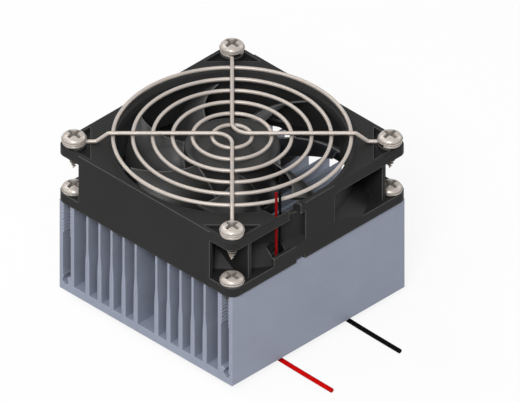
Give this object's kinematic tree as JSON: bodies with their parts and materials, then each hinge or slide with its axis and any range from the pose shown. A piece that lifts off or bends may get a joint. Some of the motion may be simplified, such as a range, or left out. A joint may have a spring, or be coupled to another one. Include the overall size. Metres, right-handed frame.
{
  "type": "thermoelectric cooling module",
  "caption": "Square thermoelectric cooler under a finned aluminium heat sink, with an axial fan, a wire finger guard and supply leads.",
  "frame": {"origin": "centre of the thermoelectric element's cold face", "axes": "+Z from the cold face to the fan, X across the fins towards the leads, Y along the extrusion"},
  "size_m": [0.116, 0.092, 0.0789],
  "materials": {
    "ceramic": "matt fired ceramic",
    "seal": "matt silicone",
    "pellet": "grey sintered",
    "copper": "bare copper",
    "sink": "satin extruded",
    "black_plastic": "fine satin",
    "steel": "bright",
    "plated_wire": "bright plated",
    "magnet": "matt bonded ferrite",
    "bronze": "oiled sintered bronze",
    "white_plastic": "matt",
    "winding": "enamelled copper",
    "board": "solder mask",
    "chip": "matt",
    "red_cover": "satin",
    "black_cover": "satin"
  },
  "bodies": {
    "base": {"cold_side_plate": "ceramic", "hot_side_plate": "ceramic", "edge_seal": "seal", "cold_side_tabs": "copper", "hot_side_tabs": "copper", "semiconductor_pellets": "pellet", "heat_sink": "sink", "fan_frame": "black_plastic", "sleeve_bearing": "bronze", "thrust_plate": "white_plastic", "stator_core": "steel", "lower_insulator": "white_plastic", "upper_insulator": "white_plastic", "stator_windings": "winding", "circuit_board": "board", "circuit_parts": "chip", "guard_ring_1": "plated_wire", "guard_ring_2": "plated_wire", "guard_ring_3": "plated_wire", "guard_ring_4": "plated_wire", "guard_ring_5": "plated_wire", "guard_ring_6": "plated_wire", "guard_strut_left": "plated_wire", "guard_strut_right": "plated_wire", "guard_screws": "plated_wire", "fan_screws": "plated_wire", "module_lead_red": "red_cover", "module_lead_black": "black_cover", "fan_lead_red": "red_cover", "fan_lead_black": "black_cover"},
    "rotor": {"impeller": "black_plastic", "rotor_yoke": "steel", "rotor_magnet": "magnet", "shaft": "steel", "oil_washer": "white_plastic", "retaining_clip": "white_plastic"}
  },
  "joints": [
    {"name": "rotor_spin", "type": "hinge", "parent": "base", "child": "rotor", "pos_m": [0, 0, 0.055], "axis": [0, 0, 1], "continuous": true}
  ]
}
